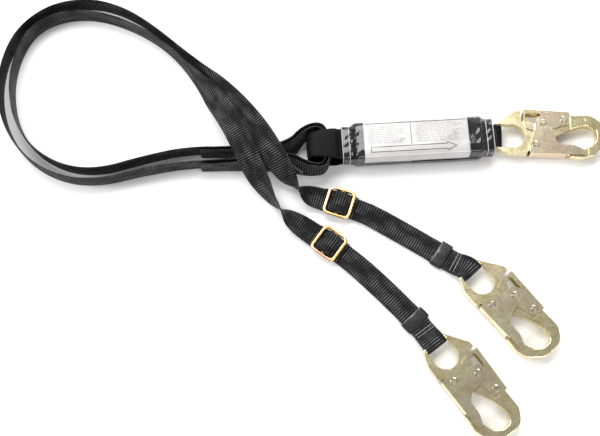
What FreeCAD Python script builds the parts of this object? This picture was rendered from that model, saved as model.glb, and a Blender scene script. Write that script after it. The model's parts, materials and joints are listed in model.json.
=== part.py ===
import FreeCAD, Part
import math
import os

# Twin-leg shock absorbing lanyard laid out on a table, in millimetres.
# Origin: middle of the shock pack's underside. +X runs along the pack to the harness hook, +Z is up.

Vec = FreeCAD.Vector
UP = Vec(0, 0, 1)

# Webbing
leg_width = 25.4
leg_thick = 1.8
pack_web_thick = 2.2
sewn_gap = 0.3
wrap_width = leg_width - 1.0

# Shock pack
pack_half_length = 82.0
bulk_half_length = 68.0
collar_step = 5.0
pack_half_width = 21.5
pack_height = 33.0
collar_half_width = 19.5
collar_low = 3.5
collar_high = 27.5
cover_wall = 0.9
loop_anchor_depth = 22.0
loop_mouth_depth = 5.0
cover_corner = 5.0
tear_layers = 6
tear_width = 35.0
tear_half_length = 56.0
label_wall = 0.3
label_start = -59.0
label_end = 54.0

# Snap hook, in its own frame: origin at the eye's centre, +x to the bow, +y to the spine
eye_radius = 13.5
eye_bar_radius = 3.1
eye_bar_x = -16.7
body_half = 4.5
bow_half = 5.6
bow_step_x = 63.6
gate_wall = 1.5
gate_inside_half = 6.5
lever_wall = 1.3
lever_inside_half = 4.8
rivet_radius = 2.5
rivet_head_radius = 4.0
rivet_head_height = 1.6
running_gap = 0.05
gate_rivet_at = (24.7, -10.1)
pin_at = (33.0, 15.1)
lever_rivet_at = (56.2, 20.0)
boss_radius = 5.6
spring_wire = 1.2

# Where the three hooks lie: eye centre and heading in degrees
harness_hook_reach = 23.2
hook_height = gate_inside_half + gate_wall + rivet_head_height + 0.6
hook_places = {
    "harness_hook": (pack_half_length + harness_hook_reach, 1.0, -5.0),
    "leg_1_hook": (53.9, -159.0, -52.0),
    "leg_2_hook": (8.2, -234.6, -56.4),
}

# Strap heights over the table
edge_z = leg_width / 2 + 0.6
lower_z = 1.6 + leg_thick / 2
upper_z = lower_z + leg_thick + sewn_gap
turn_z = upper_z + leg_thick + sewn_gap

# Adjusters and keepers: centre and heading in degrees
adjuster_places = {"adjuster_1": (-89.0, -62.3, -21.0), "adjuster_2": (-103.0, -106.8, -39.0)}
frame_length = 31.0
frame_thick = 3.6
frame_rail = 2.9
frame_side_play = 0.4
frame_width = leg_width + 2 * (frame_side_play + frame_rail)
frame_bar = 3.6
frame_corner = 6.5
slide_bar_radius = 1.9
slide_bar_travel = 1.5
slide_bar_play = 0.3
web_turn_width = leg_width - 0.8
keeper_places = {"keeper_1": (15.8, -125.5, -36.0), "keeper_2": (-18.5, -193.8, -50.0)}
keeper_length = 13.0
keeper_wall = 0.9
keeper_play = 0.4
keeper_side_play = 0.9

# The sewn stack of leg ends leans back beside the link: point number and roll
sewn_rolls = {2: 122, 3: 98, 6: 98, 7: 122}

parts = {}


def heading(degrees):
    angle = math.radians(degrees)
    return Vec(math.cos(angle), math.sin(angle), 0)


def across(degrees):
    # Level width direction of a flat strap with this heading.
    return heading(degrees - 90)


def leaning(degrees, roll):
    # Width direction of a strap turned about its own line: 0 is flat, 90 stands on edge.
    angle = math.radians(roll)
    return across(degrees) * math.cos(angle) + UP * math.sin(angle)


def place(shape, x, y, z, degrees):
    # Moves a shape from a piece's own frame to where the piece lies.
    moved = shape.copy()
    moved.rotate(Vec(0, 0, 0), UP, degrees)
    moved.translate(Vec(x, y, z))
    return moved


def rounded_wire(corners):
    # Closed outline of straight edges with a tangent arc at each corner given as (x, y, radius).
    count = len(corners)
    starts = []
    arcs = []
    for i in range(count):
        here = Vec(corners[i][0], corners[i][1], 0)
        before = Vec(corners[i - 1][0], corners[i - 1][1], 0)
        after = Vec(corners[(i + 1) % count][0], corners[(i + 1) % count][1], 0)
        to_before = (before - here).normalize()
        to_after = (after - here).normalize()
        half = to_before.getAngle(to_after) / 2
        cut = corners[i][2] / math.tan(half)
        first = here + to_before * cut
        last = here + to_after * cut
        middle = here + (to_before + to_after).normalize() * (corners[i][2] / math.sin(half) - corners[i][2])
        starts.append((first, last))
        arcs.append(Part.Arc(first, middle, last).toShape())
    edges = []
    for i in range(count):
        edges.append(arcs[i])
        edges.append(Part.makeLine(starts[i][1], starts[(i + 1) % count][0]))
    return Part.Wire(edges)


def plate(corners, low, high):
    face = Part.Face(rounded_wire(corners))
    face.translate(Vec(0, 0, low))
    return face.extrude(Vec(0, 0, high - low))


def rod(start, end, radius):
    start = Vec(*start)
    end = Vec(*end)
    return Part.makeCylinder(radius, (end - start).Length, start, end - start)


def block(x0, x1, y0, y1, z0, z1):
    return Part.makeBox(x1 - x0, y1 - y0, z1 - z0, Vec(x0, y0, z0))


def fuse_all(shapes):
    return shapes[0].fuse(shapes[1:]).removeSplitter()


def route_samples(route, step, share=0.45):
    # Straight runs joined by tangent arcs. Each route entry is (point, width direction, width).
    # Returns the centre, tangent, width direction and width at each station, and the line's length.
    points = [entry[0] for entry in route]
    runs = [(points[i + 1] - points[i]).Length for i in range(len(points) - 1)]
    line = [(points[0], (points[1] - points[0]).normalize(), 0.0)]
    for i in range(1, len(points) - 1):
        ahead = (points[i + 1] - points[i]).normalize()
        back = (points[i] - points[i - 1]).normalize()
        turn = back.getAngle(ahead)
        cut = share * min(runs[i - 1], runs[i])
        radius = cut / math.tan(turn / 2)
        centre = points[i] + (ahead - back).normalize() * (radius / math.cos(turn / 2))
        arm = (points[i] - back * cut) - centre
        axis = back.cross(ahead)
        count = max(2, math.ceil(math.degrees(turn) / step))
        for k in range(count + 1):
            turned = FreeCAD.Rotation(axis, math.degrees(turn) * k / count)
            place_now = i - cut / runs[i - 1] * (1 - 2 * k / count)
            if k > count / 2:
                place_now = i + cut / runs[i] * (2 * k / count - 1)
            line.append((centre + turned.multVec(arm), turned.multVec(back), place_now))
    line.append((points[-1], (points[-1] - points[-2]).normalize(), float(len(points) - 1)))
    return line


def strap_width_at(route, where):
    # Width direction and width at a place along the route, counted in route points.
    index = min(int(where), len(route) - 2)
    part = where - index
    aim = route[index][1] * (1 - part) + route[index + 1][1] * part
    width = route[index][2] * (1 - part) + route[index + 1][2] * part
    return aim, width


def strap(name, route, thick, step=18.0, share=0.45, twist_step=14.0):
    # Flat webbing: a rectangle carried along the route and joined by ruled faces.
    stations = []
    line = route_samples(route, step, share)
    for i, (centre, tangent, where) in enumerate(line):
        stations.append((centre, tangent, where))
        if i + 1 < len(line):
            gap = (line[i + 1][0] - centre).Length
            here = strap_width_at(route, where)[0]
            there = strap_width_at(route, line[i + 1][2])[0]
            extra = int(math.degrees(here.getAngle(there)) / twist_step)
            if gap > 2.0:
                for k in range(1, extra + 1):
                    part = k / (extra + 1)
                    mid = centre * (1 - part) + line[i + 1][0] * part
                    stations.append((mid, tangent, where * (1 - part) + line[i + 1][2] * part))
    wires = []
    for centre, tangent, where in stations:
        aim, width = strap_width_at(route, where)
        aim = (aim - tangent * aim.dot(tangent)).normalize()
        depth = tangent.cross(aim) * (thick / 2)
        side = aim * (width / 2)
        corners = [centre + side + depth, centre + side - depth, centre - side - depth, centre - side + depth]
        wires.append(Part.makePolygon(corners + [corners[0]]))
    solid = Part.makeLoft(wires, True, True)
    length = sum((stations[i + 1][0] - stations[i][0]).Length for i in range(len(stations) - 1))
    mean_width = sum(entry[2] for entry in route) / len(route)
    ratio = solid.Volume / (length * mean_width * thick)
    print(name, "length", round(length, 1), "volume ratio", round(ratio, 3))
    return solid


def print_radii(name, route):
    points = [entry[0] for entry in route]
    radii = []
    for i in range(1, len(points) - 1):
        back = points[i] - points[i - 1]
        ahead = points[i + 1] - points[i]
        radii.append(round(0.45 * min(back.Length, ahead.Length) / math.tan(back.getAngle(ahead) / 2), 1))
    print(name, "radii", radii)


# Snap hooks: one forged body with a folded gate and a folded lock lever, made once and placed three times.

def hook_outline():
    eye_end = [(-20.4, -12.0, 4.0), (-20.4, 12.5, 4.0), (-11.0, 18.8, 6.0)]
    eye_top = [(3.5, 29.2, 5.0), (9.2, 29.6, 2.0)]
    pin_notch = [(9.2, 18.5, 2.0), (13.6, 16.5, 2.0), (13.6, 11.2, 2.0), (37.5, 11.2, 3.0), (37.5, 23.4, 2.0)]
    spine = [(47.0, 25.0, 20.0), (60.0, 26.2, 20.0), (85.5, 26.8, 15.0)]
    bow = [(99.8, 17.0, 14.0), (99.8, -7.0, 14.0), (89.0, -20.0, 10.0), (76.0, -24.2, 8.0)]
    lip = [(61.0, -22.8, 2.0), (61.0, -18.3, 2.0), (77.5, -12.4, 4.0)]
    throat = [(86.5, -8.5, 6.0), (91.3, -1.5, 6.0), (91.3, 9.5, 6.0), (81.0, 14.4, 8.0), (64.0, 9.5, 20.0)]
    beak = [(46.0, 0.4, 2.0), (38.0, -4.0, 5.0), (34.0, -9.5, 3.0), (30.0, -16.4, 4.0), (17.0, -16.6, 2.0)]
    eye_side = [(14.2, -21.6, 2.0), (-3.0, -20.8, 8.0), (-12.5, -17.0, 6.0)]
    return eye_end + eye_top + pin_notch + spine + bow + lip + throat + beak + eye_side


def hook_body():
    body = plate(hook_outline(), -bow_half, bow_half)
    body = body.makeFillet(1.5, [edge for edge in body.Edges if edge.BoundBox.ZLength < 0.01])
    slot_half = leg_width / 2 + 0.7
    neck = bow_half - body_half
    for low in (-bow_half - 1, body_half):
        body = body.cut(block(-30, bow_step_x, -40, 40, low, low + neck + 1))
    eye = Part.makeCylinder(eye_radius, 4 * body_half, Vec(0, 0, -2 * body_half))
    flat = block(eye_bar_x - 10, -2.0, -slot_half, slot_half, -body_half - 1, body_half + 1)
    body = body.cut([eye, flat])
    holes = [Part.makeCylinder(rivet_radius, 20, Vec(*at, -10)) for at in (gate_rivet_at, lever_rivet_at)]
    pocket = rod((44.0, 17.2, 0), (44.0, 30.0, 0), 3.2)
    stamp = [(65.8, 23.6, 1.0), (65.8, 18.2, 1.0), (79.8, 17.4, 1.0), (79.8, 22.8, 1.0)]
    panel = plate(stamp, bow_half - 0.4, bow_half + 1)
    groove = block(81.2, 81.9, -20.4, -11.0, bow_half - 0.5, bow_half + 1)
    body = body.cut(holes + [pocket, panel, groove])
    bar = rod((eye_bar_x, -slot_half - 1, 0), (eye_bar_x, slot_half + 1, 0), eye_bar_radius)
    boss_half = gate_inside_half - 0.2
    boss = Part.makeCylinder(boss_radius, 2 * boss_half, Vec(*gate_rivet_at, -boss_half))
    boss = boss.cut(Part.makeCylinder(rivet_radius, 20, Vec(*gate_rivet_at, -10)))
    return body.fuse([bar, boss])


def folded(sheet_corners, web_corners, inside_half, wall, rivets, window=None):
    # Two equal cheeks and the web that joins them along one edge, as sheet folded to a channel.
    upper = plate(sheet_corners, inside_half, inside_half + wall)
    lower = plate(sheet_corners, -inside_half - wall, -inside_half)
    web = plate(web_corners, -inside_half - wall, inside_half + wall)
    shell = fuse_all([upper, lower, web])
    cuts = [Part.makeCylinder(radius, 40, Vec(*at, -20)) for at, radius in rivets]
    if window:
        cuts.append(plate(window, -20, 20))
    return shell.cut(cuts)


def gate():
    heel = [(17.8, -20.5, 1.2), (17.6, -9.0, 2.0), (21.2, -1.5, 5.0), (23.8, 7.0, 8.0)]
    ear = [(24.6, 20.5, 6.0), (36.0, 26.2, 6.0), (40.8, 16.0, 8.0)]
    inside = [(42.8, 8.0, 6.0), (45.6, -3.5, 5.0), (51.0, -9.6, 5.0), (66.0, -10.2, 12.0)]
    nose = [(76.6, -14.6, 4.0), (77.8, -20.6, 2.0)]
    web = [(18.4, -19.0, 0.3), (18.4, -20.5, 0.3), (58.0, -20.55, 0.3), (58.0, -19.0, 0.3)]
    holes = [(gate_rivet_at, rivet_radius + running_gap), (pin_at, rivet_radius)]
    return folded(heel + ear + inside + nose, web, gate_inside_half, gate_wall, holes)


def lock_lever():
    back = [(11.8, 17.5, 3.0), (12.2, 30.9, 1.0), (62.4, 28.8, 1.5), (63.2, 24.5, 1.5)]
    front = [(60.4, 14.4, 2.0), (42.8, 8.6, 12.0), (23.0, 6.6, 6.0), (15.0, 8.4, 4.0)]
    web = [(12.6, 30.85, 0.3), (62.0, 28.8, 0.3), (62.0, 27.2, 0.3), (12.6, 29.3, 0.3)]
    window = [(13.7, 19.8, 2.4), (14.4, 26.2, 2.4), (30.0, 26.0, 4.0), (36.2, 20.5, 3.0), (36.2, 12.0, 2.8)]
    window += [(30.0, 12.0, 2.8), (22.0, 16.0, 4.0)]
    holes = [(lever_rivet_at, rivet_radius + running_gap)]
    return folded(back + front, web, lever_inside_half, lever_wall, holes, window)


def rivet(at, seat):
    # Shank with a low domed head on each outer cheek.
    shank = Part.makeCylinder(rivet_radius, 2 * seat, Vec(*at, -seat))
    solids = [shank]
    for side in (1, -1):
        foot = Vec(*at, side * seat)
        crown = rivet_head_radius - 1.3
        solids.append(Part.makeCone(rivet_head_radius, crown, rivet_head_height, foot, UP * side))
    return fuse_all(solids)


def gate_spring():
    # Torsion coil round the gate boss with one arm along the inside of the gate's web.
    x, y = gate_rivet_at
    low = -gate_inside_half + 0.2
    coil = Part.makeCylinder(boss_radius + 0.3 + spring_wire, 1.4, Vec(x, y, low))
    coil = coil.cut(Part.makeCylinder(boss_radius + 0.3, 1.4, Vec(x, y, low)))
    middle = low + 0.7
    arm_y = -18.3
    arm = rod((x, y - boss_radius - 0.9, middle), (44.0, arm_y, middle), spring_wire / 2)
    return fuse_all([coil, arm])


def lever_spring():
    # Push coil between the spine's pocket and the lever's web, as its outer sleeve.
    outer = rod((44.0, 20.8, 0), (44.0, 27.8, 0), 1.7)
    return outer.cut(rod((44.0, 20.0, 0), (44.0, 28.0, 0), 0.7))


def make_hooks():
    gate_seat = gate_inside_half + gate_wall + 0.02
    lever_seat = lever_inside_half + lever_wall + 0.02
    pieces = {
        "body": hook_body(),
        "gate": gate(),
        "lock_lever": lock_lever(),
        "gate_rivet": rivet(gate_rivet_at, gate_seat),
        "lever_rivet": rivet(lever_rivet_at, lever_seat),
        "locking_pin": rivet(pin_at, gate_seat),
        "gate_spring": gate_spring(),
        "lever_spring": lever_spring(),
    }
    for hook, (x, y, degrees) in hook_places.items():
        for piece, shape in pieces.items():
            parts[hook + "_" + piece] = place(shape, x, y, hook_height, degrees)


def eye_bar(hook):
    x, y, degrees = hook_places[hook]
    return Vec(x, y, hook_height) + heading(degrees) * eye_bar_x


# Shock pack

def pack_section(x, half_width, low, high, corner):
    y, z = half_width, (high - low) / 2
    outline = rounded_wire([(-y, -z, corner), (y, -z, corner), (y, z, corner), (-y, z, corner)])
    outline.rotate(Vec(0, 0, 0), Vec(0, 1, 0), 90)
    outline.rotate(Vec(0, 0, 0), Vec(1, 0, 0), 90)
    outline.translate(Vec(x, 0, (low + high) / 2))
    return outline


def pack_form(skin, reach=0.0):
    # The pack's outside moved outwards by skin, lengthened by reach at each end.
    collar = (collar_half_width + skin, collar_low - skin, collar_high + skin, cover_corner + skin)
    bulk = (pack_half_width + skin, -skin, pack_height + skin, cover_corner + skin)
    step_x = bulk_half_length + collar_step
    stations = [(-pack_half_length - reach, collar), (-step_x, collar), (-bulk_half_length, bulk)]
    stations += [(bulk_half_length, bulk), (step_x, collar), (pack_half_length + reach, collar)]
    return Part.makeLoft([pack_section(x, *size) for x, size in stations], True, True)


def serpentine():
    # Folded tear webbing: level layers joined by half-round turns at alternate ends.
    pitch = (pack_height - 2 * cover_wall - 6.0) / tear_layers
    half = tear_width / 2
    solids = []
    for k in range(tear_layers):
        z = cover_wall + 2.4 + k * pitch
        solids.append(block(-tear_half_length, tear_half_length, -half, half, z, z + pack_web_thick))
        if k + 1 < tear_layers:
            reach = tear_half_length if k % 2 == 0 else -tear_half_length
            middle = z + (pitch + pack_web_thick) / 2
            outer = rod((reach, -half, middle), (reach, half, middle), (pitch + pack_web_thick) / 2)
            inner = rod((reach, -half, middle), (reach, half, middle), (pitch - pack_web_thick) / 2)
            turn = outer.cut(inner)
            near, far = sorted((reach, reach * 1.4))
            side = block(near, far, -half, half, 0, 60)
            solids.append(turn.common(side))
    return fuse_all(solids)


def leg_end_loop():
    # Absorber webbing turned back on itself as an upright loop that the legs pass through.
    cross = Vec(0, 1, 0)
    low = 1.8
    high = low + leg_width + 4.2
    anchor = loop_anchor_depth - pack_half_length
    mouth = -pack_half_length - 2.6
    flare = -pack_half_length - 8.5
    rows = [(anchor, 8.2, 34.0), (mouth, 7.4, 34.0), (flare, low, 34.0), (-119.5, low, 26.0)]
    rows += [(-119.5, high, 26.0), (flare, high, 34.0), (mouth, 23.6, 34.0), (anchor, 23.2, 34.0)]
    route = [(Vec(x, -1.0, z), cross, width) for x, z, width in rows]
    return strap("leg_end_loop", route, pack_web_thick, 20.0, 0.49)


def hook_end_loop():
    # Absorber webbing narrowed to pass round the harness hook's eye bar.
    bar = eye_bar("harness_hook")
    degrees = hook_places["harness_hook"][2]
    ahead = heading(degrees)
    aim = across(degrees) * -1
    ring = eye_bar_radius + 0.3 + pack_web_thick / 2
    plain = Vec(0, 1, 0)
    narrow = wrap_width
    anchor = pack_half_length - loop_anchor_depth
    mouth = pack_half_length - loop_mouth_depth
    route = [(Vec(anchor, 0, 22.5), plain, 34.0), (Vec(mouth, 0, 20.5), plain, 26.0)]
    route += [(bar - ahead * 2.5 + UP * ring, aim, narrow), (bar + ahead * ring + UP * ring, aim, narrow)]
    route += [(bar + ahead * ring - UP * ring, aim, narrow), (bar - ahead * 2.5 - UP * ring, aim, narrow)]
    route += [(Vec(mouth, 0, 7.6), plain, 26.0), (Vec(anchor, 0, 8.0), plain, 34.0)]
    return strap("hook_end_loop", route, pack_web_thick, 20.0, 0.49)


def make_pack():
    outside = pack_form(0.0)
    parts["absorber_cover"] = outside.cut(pack_form(-cover_wall, 2.0))
    parts["tear_webbing"] = serpentine()
    half = tear_width / 2 - 2
    under_top = pack_height - cover_wall
    parts["backup_strap"] = block(-58, 58, -half, half, under_top - 1.6, under_top - 0.4)
    parts["leg_end_loop"] = leg_end_loop()
    parts["hook_end_loop"] = hook_end_loop()
    wrap = pack_form(0.1 + label_wall).cut(pack_form(0.1, 2.0))
    window = block(label_start, label_end, -40, 40, pack_height / 2 + 1, 60)
    parts["absorber_label"] = wrap.common(window)
    flap = pack_form(0.1 + label_wall).cut(pack_form(0.1, 2.0))
    parts["cover_flap"] = flap.common(block(-6, 66, -40, -10, 1.0, pack_height / 2 - 4))
    tacks = []
    for x in (-65.0, 63.0):
        for k in range(3):
            step = x + 1.6 * k
            tacks.append(block(step, step + 0.9, -14, 14, 25.6, 26.2))
    parts["pack_bar_tacks"] = Part.makeCompound(tacks)


# Legs: stood on edge at the pack and round the left, lying over their own sewn ends, then flat to the hooks.

def leg_routes():
    link_z = 16.6
    stack_z = edge_z
    on_edge = UP
    tail_1 = [(-236, 1.0, stack_z), (-190, -1.7, stack_z), (-142, -7.2, stack_z)]
    turn_1 = [(-118.5, 18.8, link_z), (-99.6, 18.8, link_z), (-99.6, -23.4, link_z), (-118.5, -23.4, link_z)]
    lower_1 = [(-142, -10.9, stack_z), (-195, -11.5, edge_z), (-250, -10.5, edge_z), (-300, -16.5, edge_z)]
    loop_1 = [(-345, -25.5), (-385, -20.5), (-421, 1), (-446, 37), (-456, 78), (-452, 120), (-435, 158)]
    loop_1 += [(-401, 184), (-358, 190.5), (-318, 178), (-283, 152), (-252, 122)]
    over_1 = [(-229, 93, 16, -50, 115), (-210, 70, 24, -52, 150), (-191, 46, 31, -54, 165)]
    over_1 += [(-173, 20, 34.5, -58, 165), (-158, -8, 34.5, -61, 168), (-145.5, -30.5, 24, -56, 135)]
    over_1 += [(-136, -43.5, 13.6, -46, 90), (-124.5, -50.2, 8.4, -30, 30), (-110.5, -54.6, upper_z, -21, 0)]
    tail_2 = [(-236, -15, stack_z), (-190, -16.5, stack_z), (-144, -14.6, stack_z)]
    turn_2 = [(-120.5, -27.2, link_z), (-95.6, -27.2, link_z), (-95.6, 22.6, link_z), (-120, 22.6, link_z)]
    lower_2 = [(-144, -3.6, stack_z), (-195, 2.5, edge_z), (-250, 5.5, edge_z), (-300, -3, edge_z)]
    loop_2 = [(-345, -14), (-384, -8), (-417, 14.5), (-437, 48), (-443.5, 90), (-437, 128)]
    loop_2 += [(-420, 160), (-388, 175.5), (-350, 175), (-312, 160), (-280, 139), (-255, 113)]
    over_2 = [(-232, 83, 15, -55, 115), (-217, 59, 23, -60, 150), (-205, 38, 30, -63, 165)]
    over_2 += [(-195, 16, 33.5, -67, 165), (-186, -7, 33, -67, 165), (-177, -29, 26, -64, 150)]
    over_2 += [(-166, -49, 16, -57, 115), (-154.5, -65, 13.6, -50, 90), (-143, -76, 8.8, -43, 34)]
    over_2 += [(-125, -89.6, upper_z, -39, 0)]
    routes = {}
    sides = {
        "leg_1": (tail_1, turn_1, lower_1, loop_1, over_1),
        "leg_2": (tail_2, turn_2, lower_2, loop_2, over_2),
    }
    for leg, (tail, turn, lower, loop, over) in sides.items():
        route = [(Vec(*point), on_edge, leg_width) for point in tail + turn + lower]
        for index, roll in sewn_rolls.items():
            route[index] = (route[index][0], leaning(0, roll), leg_width)
        route += [(Vec(x, y, edge_z), on_edge, leg_width) for x, y in loop]
        route += [(Vec(x, y, z), leaning(turn_to, roll), leg_width) for x, y, z, turn_to, roll in over]
        x, y, degrees = adjuster_places["adjuster_" + leg[-1]]
        route.append((Vec(x, y, upper_z), across(degrees), leg_width))
        routes[leg] = route
    return routes


def hook_loop_route(adjuster, keeper, hook, middle, approach):
    # Down from the adjuster on top, round the eye bar, and back underneath to where it is sewn.
    x, y, degrees = adjuster_places[adjuster]
    start = Vec(x, y, 0) + heading(degrees) * sewn_gap
    keeper_x, keeper_y, keeper_turn = keeper_places[keeper]
    bar = eye_bar(hook)
    hook_turn = hook_places[hook][2]
    ahead = heading(hook_turn)
    ring = eye_bar_radius + 0.3 + leg_thick / 2
    plan = [(start, degrees)] + [(Vec(px, py, 0), turn) for px, py, turn in middle]
    plan += [(Vec(keeper_x, keeper_y, 0), keeper_turn), (Vec(approach[0], approach[1], 0), approach[2])]
    upper = [(point + UP * upper_z, across(turn), leg_width) for point, turn in plan]
    lower = [(point + UP * lower_z, across(turn), leg_width) for point, turn in reversed(plan[1:])]
    aim = across(hook_turn)
    wrap = [bar - ahead * 3.0 + UP * ring, bar + ahead * ring + UP * ring]
    wrap += [bar + ahead * ring - UP * ring, bar - ahead * 3.0 - UP * ring]
    return upper + [(point, aim, wrap_width) for point in wrap] + lower


def make_legs():
    for leg, route in leg_routes().items():
        print_radii(leg, route)
        parts[leg + "_webbing"] = strap(leg + "_webbing", route, leg_thick)
    plans = {
        "leg_1": [(-61.0, -73.5, -27.0), (-27.0, -96.0, -33.0)],
        "leg_2": [(-80.0, -125.8, -41.0), (-51.0, -156.0, -47.0)],
    }
    approaches = {"leg_1": (29.5, -135.8, -46.0), "leg_2": (-9.0, -207.4, -54.0)}
    for leg, middle in plans.items():
        number = leg[-1]
        names = ("adjuster_" + number, "keeper_" + number, leg + "_hook")
        route = hook_loop_route(*names, middle, approaches[leg])
        parts[leg + "_hook_loop"] = strap(leg + "_hook_loop", route, leg_thick, 20.0, 0.49)
    # Four columns of thread on the outer face of leg 2's sewn end, along its slanted run to the link.
    start, end = leg_routes()["leg_2"][2][0], leg_routes()["leg_2"][3][0]
    slant = math.degrees(math.atan2(end.y - start.y, end.x - start.x))
    tacks = []
    for k in range(4):
        along = 10.6 + 2.7 * k
        share = along / (end - start).Length
        lean = (1 - share) * (sewn_rolls[2] - 90) + share * (sewn_rolls[3] - 90)
        height = (1 - share) * start.z + share * end.z
        column = block(along, along + 1.4, -leg_thick / 2 - 0.9, -leg_thick / 2 - 0.4, -9.0, 4.0)
        column.rotate(Vec(0, 0, 0), Vec(1, 0, 0), -lean)
        tacks.append(place(column, start.x, start.y, height, slant))
    parts["leg_bar_tacks"] = Part.makeCompound(tacks)


# Adjusters: a plated frame with a bar that floats in its side rails, and the strap's turn over that bar.

def adjuster_frame():
    x, y = frame_length / 2, frame_width / 2
    corner = frame_corner
    outer = [(-x, -y, corner), (x, -y, corner), (x, y, corner), (-x, y, corner)]
    inner_x, inner_y = x - frame_bar, y - frame_rail
    inner_corner = corner - frame_rail
    inner = [(-inner_x, -inner_y, inner_corner), (inner_x, -inner_y, inner_corner)]
    inner += [(inner_x, inner_y, inner_corner), (-inner_x, inner_y, inner_corner)]
    frame = plate(outer, 0, frame_thick).cut(plate(inner, -1, frame_thick + 1))
    edges = [edge for edge in frame.Edges if edge.BoundBox.ZLength < 0.01]
    frame = frame.makeFillet(1.1, edges)
    slot_x = slide_bar_radius + slide_bar_travel + slide_bar_play
    slot_z = slide_bar_radius * 0.5 + slide_bar_play
    middle = frame_thick / 2
    slot_y = inner_y + 1.4 + slide_bar_play
    return frame.cut(block(-slot_x, slot_x, -slot_y, slot_y, middle - slot_z, middle + slot_z))


def slide_bar():
    middle = frame_thick / 2
    inner_y = frame_width / 2 - frame_rail
    grip = rod((0, -inner_y + 0.4, middle), (0, inner_y - 0.4, middle), slide_bar_radius)
    flat = slide_bar_radius * 0.5
    reach = inner_y + 1.4
    tongue = block(-slide_bar_radius, slide_bar_radius, -reach, reach, middle - flat, middle + flat)
    return fuse_all([grip, tongue])


def web_turn():
    # The strap's own turn over the bar, which travels with the adjuster.
    cross = Vec(0, 1, 0)
    low = turn_z
    bar_middle = turn_z + leg_thick / 2 + sewn_gap + frame_thick / 2
    top = bar_middle + slide_bar_radius + 0.4 + leg_thick / 2
    crown = slide_bar_radius + slide_bar_travel + 1.8
    foot = frame_length / 2 - frame_bar - 2.6
    end = frame_length / 2 + 3.0
    rows = [(-end, low), (-foot, low), (-crown, top), (crown, top), (foot, low), (end, low)]
    return strap("web_turn", [(Vec(x, 0, z), cross, web_turn_width) for x, z in rows], leg_thick, 15.0, 0.4)


def keeper():
    # Rectangular sleeve round both strap layers.
    inner_half = leg_width / 2 + keeper_side_play
    inner_low = lower_z - leg_thick / 2 - 0.3
    inner_high = upper_z + leg_thick / 2 + keeper_play
    outer_half = inner_half + keeper_wall
    half = keeper_length / 2
    outer = block(-half, half, -outer_half, outer_half, inner_low - keeper_wall, inner_high + keeper_wall)
    edges = [edge for edge in outer.Edges if edge.BoundBox.XLength > 1]
    outer = outer.makeFillet(1.0, edges)
    return outer.cut(block(-half - 1, half + 1, -inner_half, inner_half, inner_low, inner_high))


def make_hardware():
    frame_z = turn_z + leg_thick / 2 + sewn_gap
    for name, (x, y, degrees) in adjuster_places.items():
        parts[name + "_frame"] = place(adjuster_frame(), x, y, frame_z, degrees)
        parts[name + "_slide_bar"] = place(slide_bar(), x, y, frame_z, degrees)
        parts[name + "_web_turn"] = place(web_turn(), x, y, 0, degrees)
    for name, (x, y, degrees) in keeper_places.items():
        parts[name] = place(keeper(), x, y, 0, degrees)


make_hooks()
make_pack()
make_legs()
make_hardware()

os.makedirs("parts", exist_ok=True)
for name, shape in parts.items():
    box = shape.BoundBox
    state = "ok" if shape.isValid() and shape.Volume > 0 else "FAULT"
    low = (round(box.XMin, 1), round(box.YMin, 1), round(box.ZMin, 1))
    high = (round(box.XMax, 1), round(box.YMax, 1), round(box.ZMax, 1))
    print(name, state, len(shape.Solids), low, high)
    shape.exportStep("parts/" + name + ".step")
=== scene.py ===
import bpy
import math
import numpy as np
from mathutils import Matrix, Vector
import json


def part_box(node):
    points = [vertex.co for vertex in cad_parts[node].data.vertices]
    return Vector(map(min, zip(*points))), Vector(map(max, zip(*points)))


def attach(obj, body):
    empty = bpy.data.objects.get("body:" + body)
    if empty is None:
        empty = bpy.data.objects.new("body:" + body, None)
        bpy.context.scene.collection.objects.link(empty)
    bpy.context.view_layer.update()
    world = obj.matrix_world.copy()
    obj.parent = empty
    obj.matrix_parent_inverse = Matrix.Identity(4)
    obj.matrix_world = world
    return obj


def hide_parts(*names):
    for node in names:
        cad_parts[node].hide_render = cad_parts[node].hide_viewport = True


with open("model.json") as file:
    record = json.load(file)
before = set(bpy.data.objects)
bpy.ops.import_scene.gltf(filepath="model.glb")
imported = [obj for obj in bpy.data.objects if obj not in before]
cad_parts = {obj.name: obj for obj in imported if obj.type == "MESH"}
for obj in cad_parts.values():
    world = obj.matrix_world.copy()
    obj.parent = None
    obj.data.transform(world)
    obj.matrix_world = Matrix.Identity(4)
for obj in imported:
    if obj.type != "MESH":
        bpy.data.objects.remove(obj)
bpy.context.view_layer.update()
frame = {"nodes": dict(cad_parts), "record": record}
nodes = frame["nodes"]
up = np.array([0.0, 0.0, 1.0])

# Camera, floor and light

studio = {
    "camera": (-0.1497, -0.3718, 1.040),
    "looksAlong": (0.01634, 0.2751, -0.9613),
    "right": (0.9982, -0.0593, 0.0),
    "lens": 60.0,
    "floorHalf": 6.0,
    "worldLight": 0.30,
}


def makeCamera():
    forward = Vector(studio["looksAlong"]).normalized()
    right = Vector(studio["right"])
    right = (right - forward * right.dot(forward)).normalized()
    lens = bpy.data.cameras.new("camera")
    lens.lens = studio["lens"]
    lens.sensor_width = 36.0
    lens.clip_start, lens.clip_end = 0.01, 50.0
    camera = bpy.data.objects.new("camera", lens)
    turn = Matrix((right, right.cross(forward), -forward)).transposed().to_4x4()
    camera.matrix_world = Matrix.Translation(studio["camera"]) @ turn
    bpy.context.scene.collection.objects.link(camera)
    bpy.context.scene.camera = camera


def areaLight(name, place, target, size, power):
    lamp = bpy.data.lights.new(name, "AREA")
    lamp.shape = "RECTANGLE"
    lamp.size, lamp.size_y = size
    lamp.energy = power
    holder = bpy.data.objects.new(name, lamp)
    aim = Vector(target) - Vector(place)
    holder.matrix_world = Matrix.Translation(place) @ aim.to_track_quat("-Z", "Y").to_matrix().to_4x4()
    bpy.context.scene.collection.objects.link(holder)


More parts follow.
